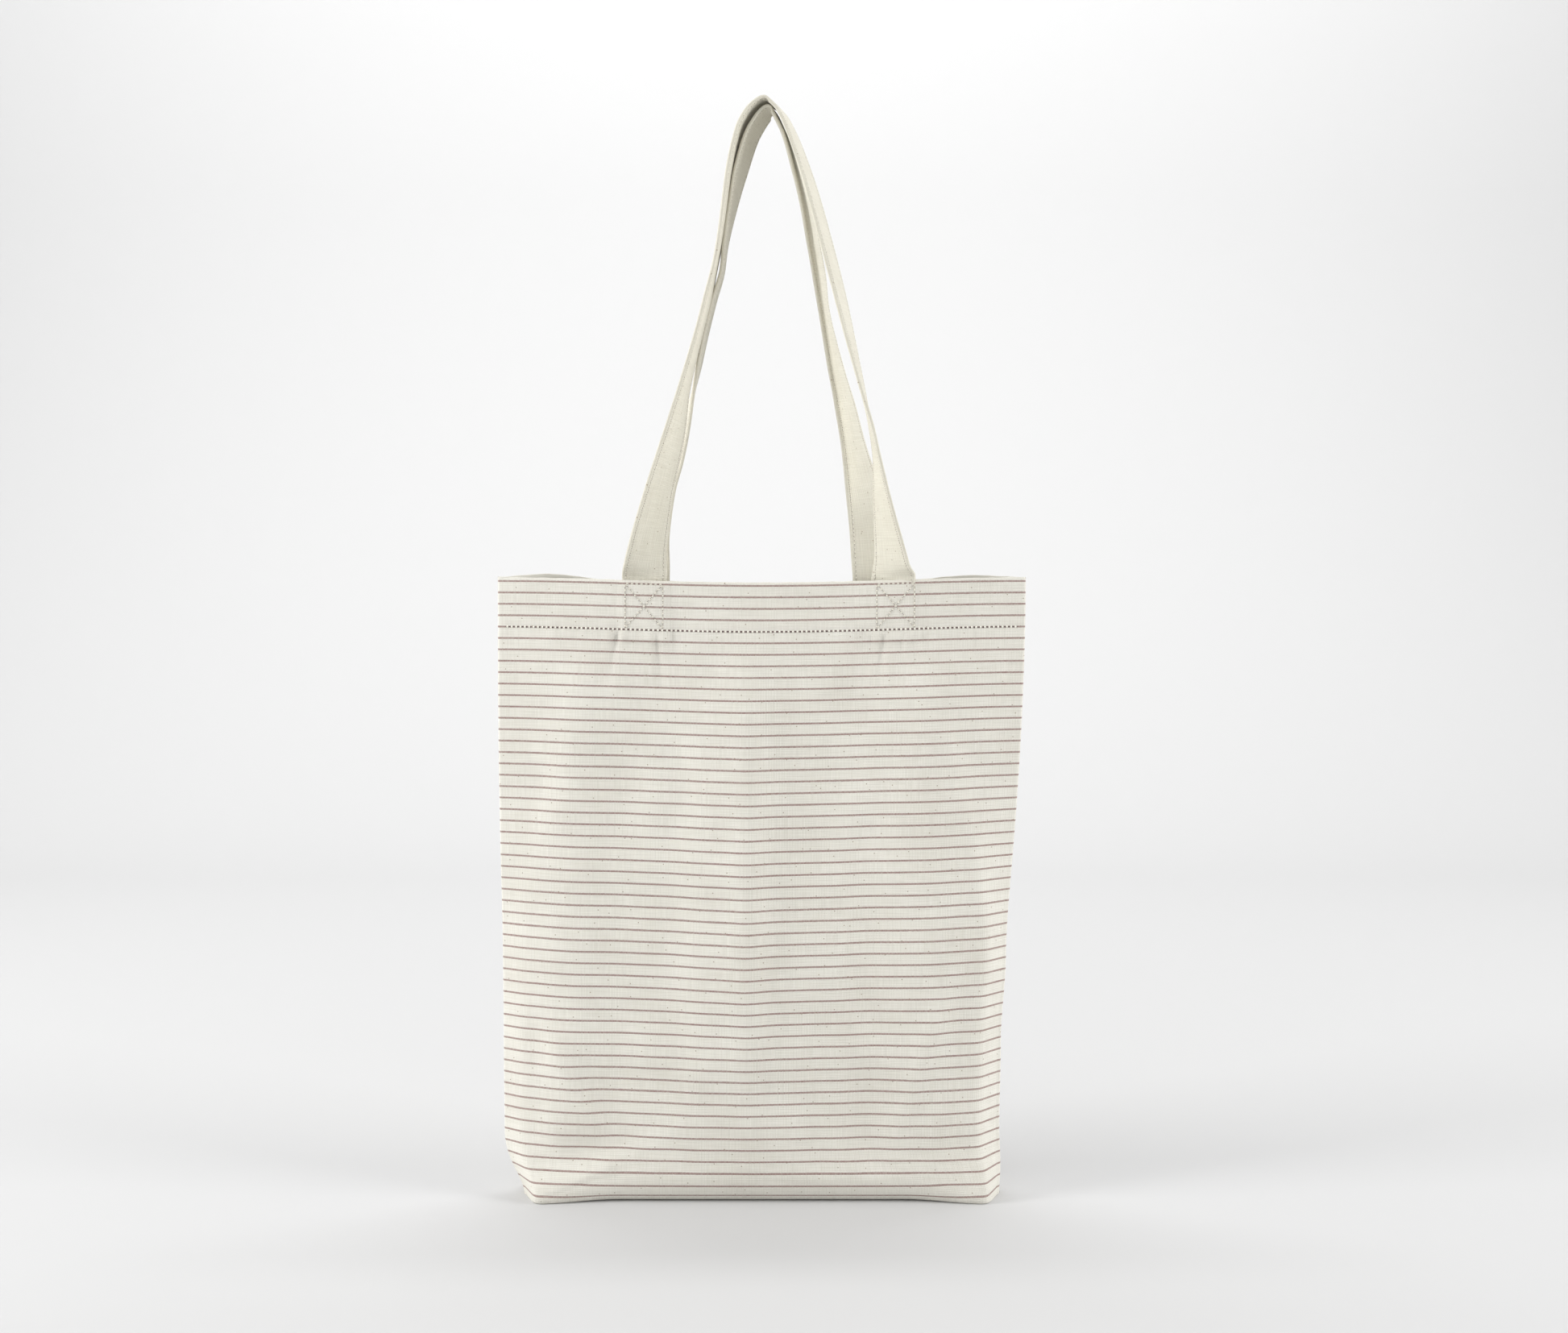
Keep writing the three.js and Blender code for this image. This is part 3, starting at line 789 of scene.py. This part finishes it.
# %% Faces outward
groups = (straps, seams, hem_threads, box_threads, edge_threads)
lofted = [made for group in groups for made in group.values()]
for piece in lofted:
    work_on(piece)
    bpy.ops.object.mode_set(mode="EDIT")
    bpy.ops.mesh.select_all(action="SELECT")
    bpy.ops.mesh.normals_make_consistent(inside=False)
    bpy.ops.object.mode_set(mode="OBJECT")
print("faces turned outward on", len(lofted), "pieces")

# %% [markdown]
# ## Finishes
# Colours are written as sRGB hex values, as a paint chart gives them, and
# turned to the linear values that the shader works in.

# %% Material helpers
def colour(hex_value):
    """A linear RGBA colour from an sRGB hex value."""
    parts = [int(hex_value[i : i + 2], 16) / 255 for i in (1, 3, 5)]
    return [p / 12.92 if p <= 0.04045 else ((p + 0.055) / 1.055) ** 2.4 for p in parts] + [1.0]


def node(tree, kind, inputs=(), **settings):
    """Adds a node with its settings; an input that is a socket is linked, any other is set."""
    made = tree.nodes.new(kind)
    for key, value in settings.items():
        setattr(made, key, value)
    for slot, value in dict(inputs).items():
        if isinstance(value, bpy.types.NodeSocket):
            tree.links.new(value, made.inputs[slot])
        else:
            made.inputs[slot].default_value = value
    return made


def new_finish(name, roughness, sheen=0.0):
    """A material with one Principled shader; returns it, its tree and the shader."""
    made = bpy.data.materials.new(name)
    made.use_nodes = True
    tree = made.node_tree
    tree.nodes.clear()
    start = {"Roughness": roughness, "Sheen Weight": sheen, "Sheen Roughness": 0.6, "IOR": 1.46}
    shader = node(tree, "ShaderNodeBsdfPrincipled", start)
    node(tree, "ShaderNodeOutputMaterial", {"Surface": shader.outputs[0]})
    return made, tree, shader


# %% [markdown]
# ### Cotton canvas
# Unbleached cotton, plain woven from thick yarn. It is matt and a little
# fuzzy, so the eye sees no shine, only a fine basket relief. Uneven yarn
# gives short thick places along both directions, and bits of seed husk stay
# in the yarn as sparse dark flecks. The yarns are drawn 1.1 mm apart, so that
# they still show from the distance of the camera, with painted shade in the
# gaps between them. Every pattern reads the flat cloth's own map, in mm, so
# it follows the folds.

# %% Weave and yarn
WEAVE = 1.1
WEFT_GRAIN, WARP_GRAIN = (0.05, 0.9, 1), (0.9, 0.04, 1)


def weave_height(tree, flat):
    """Plain weave as a grid of small mounds from two crossing waves, and the place down the cloth."""
    parts = node(tree, "ShaderNodeSeparateXYZ", {0: flat})
    waves = []
    for part in parts.outputs[:2]:
        turned = node(tree, "ShaderNodeMath", {0: part, 1: math.pi / WEAVE}, operation="MULTIPLY")
        waves.append(node(tree, "ShaderNodeMath", {0: turned.outputs[0]}, operation="SINE").outputs[0])
    height = node(tree, "ShaderNodeMath", {0: waves[0], 1: waves[1]}, operation="MULTIPLY")
    lifted = node(tree, "ShaderNodeMath", {0: height.outputs[0]}, operation="ABSOLUTE")
    return lifted.outputs[0], parts.outputs[1]


def uneven_yarn(tree, flat):
    """Thick places drawn out along the warp, and the same with those of the weft added."""
    drawn = []
    for grain in (WEFT_GRAIN, WARP_GRAIN):
        place = node(tree, "ShaderNodeMapping", {0: flat, "Scale": grain}).outputs[0]
        noise = node(tree, "ShaderNodeTexNoise", {"Vector": place, "Scale": 1.0, "Detail": 2.0})
        drawn.append(noise.outputs[0])
    both = node(tree, "ShaderNodeMath", {0: drawn[0], 1: drawn[1]}, operation="ADD")
    return drawn[1], both.outputs[0]


# %% [markdown]
# The stripes are a thin line of brown weft every 7.62 mm. The warp crosses
# over them, so their edges are frayed and the brown is broken a little.

# %% Stripes
FRAY = 0.5
STRIPE_EDGE = {1: 0.42, 2: 0.8, 3: 1.0, 4: 0.0}


def stripe_amount(tree, flat, down, weave, warp):
    """How much brown weft shows: 1 on a stripe, 0 between two."""
    fray = node(tree, "ShaderNodeTexNoise", {"Vector": flat, "Scale": 0.9, "Detail": 2.0})
    moved = {0: fray.outputs[0], 1: FRAY, 2: down}
    shifted = node(tree, "ShaderNodeMath", moved, operation="MULTIPLY_ADD")
    start = STRIPE_START + FRAY / 2
    centred = node(tree, "ShaderNodeMath", {0: shifted.outputs[0], 1: start}, operation="SUBTRACT")
    half = STRIPE_PITCH / 2
    away = node(tree, "ShaderNodeMath", {0: centred.outputs[0], 1: half}, operation="PINGPONG")
    edge = {0: away.outputs[0], **STRIPE_EDGE}
    line = node(tree, "ShaderNodeMapRange", edge, interpolation_type="SMOOTHSTEP")
    covered = node(tree, "ShaderNodeMapRange", {0: weave, 1: 0.0, 2: 0.9, 3: 0.8, 4: 1.0})
    worn = node(tree, "ShaderNodeMapRange", {0: warp, 1: 0.35, 2: 0.65, 3: 0.8, 4: 1.0})
    amount = line
    for share in (covered, worn):
        both = {0: amount.outputs[0], 1: share.outputs[0]}
        amount = node(tree, "ShaderNodeMath", both, operation="MULTIPLY")
    return amount.outputs[0]


# %% Canvas finish
HUSK_GAP = 15


def cotton(name, light, dark, fleck_and_gap_shade, stripe=None, relief=0.35):
    """Plain-woven cotton in two close tones, with husk flecks, painted shade in the gaps between yarns,
    and with stripes if it has any.
    """
    made, tree, shader = new_finish(name, 0.92, 0.08)
    place = node(tree, "ShaderNodeUVMap", uv_map="Cloth")
    in_mm = {0: place.outputs[0], "Scale": (1000, 1000, 1000)}
    flat = node(tree, "ShaderNodeMapping", in_mm).outputs[0]
    weave, down = weave_height(tree, flat)
    warp, yarn = uneven_yarn(tree, flat)
    cloudy = {"Vector": flat, "Scale": 0.022, "Detail": 3.0, "Roughness": 0.55}
    broad = node(tree, "ShaderNodeTexNoise", cloudy)
    tone = node(tree, "ShaderNodeMath", {0: yarn, 1: broad.outputs[0]}, operation="ADD")
    tone = node(tree, "ShaderNodeMapRange", {0: tone.outputs[0], 1: 1.15, 2: 1.85, 3: 0.0, 4: 1.0})
    # Painted shade: where the weave's relief is low, in the gaps between yarns, the cloth is mixed a
    # little towards the fleck colour.
    gap_shade = node(tree, "ShaderNodeMapRange", {0: weave, 1: 0.0, 2: 0.45, 3: 0.16, 4: 0.0})
    cells = {"Vector": flat, "Scale": 1 / HUSK_GAP, "Randomness": 1.0}
    seeds = node(tree, "ShaderNodeTexVoronoi", cells, voronoi_dimensions="2D")
    near_seed = {0: seeds.outputs["Distance"], 1: 0.016, 2: 0.034, 3: 0.75, 4: 0.0}
    speck = node(tree, "ShaderNodeMapRange", near_seed)
    layers = [(tone.outputs[0], light), (gap_shade.outputs[0], fleck_and_gap_shade)]
    if stripe:
        layers.append((stripe_amount(tree, flat, down, weave, warp), stripe))
    layers.append((speck.outputs[0], fleck_and_gap_shade))
    shown = colour(dark)
    for amount, over in layers:
        pair = {0: amount, 6: shown, 7: colour(over)}
        shown = node(tree, "ShaderNodeMix", pair, data_type="RGBA").outputs[2]
    tree.links.new(shown, shader.inputs["Base Color"])
    height = node(tree, "ShaderNodeMath", {0: yarn, 1: 0.8, 2: weave}, operation="MULTIPLY_ADD")
    raised = {"Strength": relief, "Distance": 0.0004, "Height": height.outputs[0]}
    tree.links.new(node(tree, "ShaderNodeBump", raised).outputs[0], shader.inputs["Normal"])
    return made


# One colour for the husk flecks and for the painted shade in the gaps between yarns.
HUSK_AND_GAP_SHADE = "#8C7A60"
striped_canvas = cotton("striped cotton canvas, plain woven", "#E8E6DD", "#DBD8CE", HUSK_AND_GAP_SHADE, stripe="#8E726C")
strap_canvas = cotton("folded cotton canvas, plain woven", "#E0DDCF", "#D3CFC0", HUSK_AND_GAP_SHADE)
seam_canvas = cotton("overcast cotton edge", "#E6E1D2", "#D2CBB9", "#9C8C70", relief=0.6)
print("finishes", [made.name for made in (striped_canvas, strap_canvas, seam_canvas)])

# %% [markdown]
# ### Cotton sewing thread
# Two-ply spun thread: matt, close to the canvas in colour, with a fine
# slanting twist in its relief, whose grooves are painted a little darker, as
# painted shade. Where it dives through the cloth, both ends of each pale dash
# are painted dark, as the shade of the needle hole. The hem's thread is pulled
# tighter, so its painted hole shade is wider and darker.

# %% Thread finish
HOLE_SHADE_EDGE = 0.25


def sewing_thread(name, light, dark, needle_hole_shade, hole_shade_from, amount):
    """Thread darkened towards both ends of each stitch, from a given distance in mm beyond its middle, as
    painted shade of the needle hole; its twist grooves carry painted shade too.
    """
    made, tree, shader = new_finish(name, 0.8, 0.1)
    place = node(tree, "ShaderNodeUVMap", uv_map="Cloth")
    slanted = {0: place.outputs[0], "Scale": (1000, 1000, 1000), "Rotation": (0, 0, 0.5)}
    flat = node(tree, "ShaderNodeMapping", slanted)
    twist = node(tree, "ShaderNodeTexWave", {"Vector": flat.outputs[0], "Scale": 1.6, "Distortion": 0.6})
    # Painted shade: the thread is darker in the grooves of its twist, where the bump below sinks it.
    twist_shade = {0: twist.outputs[1], 6: colour(dark), 7: colour(light)}
    shown = node(tree, "ShaderNodeMix", twist_shade, data_type="RGBA")
    parts = node(tree, "ShaderNodeSeparateXYZ", {0: place.outputs[0]})
    half = STITCH * MM / 2
    along = node(tree, "ShaderNodeMath", {0: parts.outputs[0], 1: half}, operation="PINGPONG")
    # Painted shade: each stitch turns dark towards both ends, where the thread dips into its needle hole.
    edge = {0: along.outputs[0], 1: hole_shade_from * MM, 2: (hole_shade_from + HOLE_SHADE_EDGE) * MM, 3: 0.0, 4: amount}
    hole_shade = node(tree, "ShaderNodeMapRange", edge)
    pair = {0: hole_shade.outputs[0], 6: shown.outputs[2], 7: colour(needle_hole_shade)}
    shown = node(tree, "ShaderNodeMix", pair, data_type="RGBA")
    tree.links.new(shown.outputs[2], shader.inputs["Base Color"])
    raised = {"Strength": 0.4, "Distance": 0.0001, "Height": twist.outputs[1]}
    tree.links.new(node(tree, "ShaderNodeBump", raised).outputs[0], shader.inputs["Normal"])
    return made


# The second colour of each thread is the painted shade in its twist, the third the painted shade of its
# needle holes.
thread = sewing_thread("spun cotton thread", "#EDEADF", "#D6D0C2", "#6A5C50", 0.8, 0.9)
hem_thread = sewing_thread(
    "spun cotton thread, pulled into the hem", "#F6F3EA", "#E6E1D4", "#46322E", 0.66, 1.0
)
print("threads", thread.name, "and", hem_thread.name)

# %% [markdown]
# ## Place in the model
# Each piece gets its finish and hides the imported nodes that it stands for.
# The panels, their stitches and the seams ride on the bag's body; the straps
# and their edge stitches are baked into the world frame and ride on no body.


def finish_piece(piece, material):
    """Gives a piece its one material."""
    piece.data.materials.clear()
    piece.data.materials.append(material)


for side in SIDES:
    finish_piece(panels[side], striped_canvas)
    finish_piece(straps[side], strap_canvas)
    finish_piece(hem_threads[side], hem_thread)
    finish_piece(edge_threads[side], thread)
    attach(panels[side], "bag")
    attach(hem_threads[side], "bag")
    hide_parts(f"{side}_panel", f"{side}_hem")
    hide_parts(f"{side}_hem_stitch")
    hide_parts(f"{side}_handle", f"{side}_strap_end_left", f"{side}_strap_end_right")
    for k, hand in enumerate(("left", "right")):
        finish_piece(box_threads[side, k], thread)
        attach(box_threads[side, k], "bag")
        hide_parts(f"{side}_box_stitch_{hand}")
    for piece in (straps[side], edge_threads[side]):
        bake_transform(piece)
for name, strip in seams.items():
    finish_piece(strip, seam_canvas)
    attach(strip, "bag")
    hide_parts(name)

# %% [markdown]
# ## Studio
# The bag stands on a pale sweep of paper: the floor runs back and curves up
# into the backdrop without an edge. Two soft lights at the sides show up the
# folds, a third lights the backdrop, and a weak one from above the camera
# and the pale surround fill the shadows.

# %% Sweep of paper
SWEEP_SIDE, SWEEP_FRONT, SWEEP_TOP = 3.2, -3.2, 3.4
CURVE_START, CURVE_RADIUS = 1.4, 1.2


def studio_sweep():
    """A wide sheet: flat floor, a quarter turn, and an upright backdrop."""
    line = [(SWEEP_FRONT, 0.0), (-1.0, 0.0), (0.6, 0.0)]
    for angle in np.linspace(0, math.pi / 2, 24):
        y = CURVE_START + CURVE_RADIUS * math.sin(angle)
        line.append((y, CURVE_RADIUS * (1 - math.cos(angle))))
    line.append((CURVE_START + CURVE_RADIUS, SWEEP_TOP))
    points = [(x, y, z) for y, z in line for x in (-SWEEP_SIDE, SWEEP_SIDE)]
    faces = [(2 * i, 2 * i + 1, 2 * i + 3, 2 * i + 2) for i in range(len(line) - 1)]
    mesh = bpy.data.meshes.new("sweep")
    mesh.from_pydata(points, [], faces)
    mesh.polygons.foreach_set("use_smooth", [True] * len(mesh.polygons))
    made = bpy.data.objects.new("sweep", mesh)
    bpy.context.collection.objects.link(made)
    return made


sweep = studio_sweep()
paper, paper_tree, paper_shader = new_finish("matt seamless paper", 0.95)
paper_shader.inputs["Base Color"].default_value = colour("#CFCFCF")
paper_shader.inputs["Specular IOR Level"].default_value = 0.1
sweep.data.materials.append(paper)
print("sweep", len(sweep.data.polygons), "faces")


# %% Lights
def soft_light(name, place, aim, size, power):
    """A rectangular lamp at a place in metres, turned to shine at its aim."""
    lamp = bpy.data.lights.new(name, "AREA")
    lamp.shape, lamp.size, lamp.size_y, lamp.energy = "RECTANGLE", size[0], size[1], power
    made = bpy.data.objects.new(name, lamp)
    bpy.context.collection.objects.link(made)
    made.location = place
    direction = np.array(aim, float) - np.array(place, float)
    flat = math.hypot(direction[0], direction[1])
    made.rotation_euler = (math.atan2(flat, -direction[2]), 0, math.atan2(-direction[0], direction[1]))


soft_light("backdrop light", (0.0, 0.9, 3.0), (0, 2.4, 1.0), (3.2, 0.6), 61)
soft_light("left light", (-2.5, -0.8, 0.9), (0, 0, 0.35), (1.0, 1.6), 54)
soft_light("right light", (2.5, -0.75, 0.9), (0, 0, 0.35), (1.0, 1.6), 44)
soft_light("front light", (-0.6, -0.9, 2.3), (0, -0.25, 0), (1.6, 0.8), 9.5)
world = bpy.data.worlds.new("pale room")
bpy.context.scene.world = world
world.use_nodes = True
surround = world.node_tree.nodes["Background"]
surround.inputs["Color"].default_value = colour("#FAFAFA")
surround.inputs["Strength"].default_value = 0.5
print("lights", [lamp.name for lamp in bpy.data.lights])

# %% Camera
CAMERA_PITCH = 0.3
lens = bpy.data.cameras.new("camera")
lens.lens, lens.sensor_width, lens.shift_y = 44.56, 36, -0.045
camera = bpy.data.objects.new("camera", lens)
bpy.context.collection.objects.link(camera)
camera.location = (0.0149, -1.3, 0.4064)
camera.rotation_euler = (math.radians(90 - CAMERA_PITCH), 0, 0)
bpy.context.scene.camera = camera
bpy.context.scene.view_settings.view_transform = "Standard"
print("camera at", tuple(camera.location))
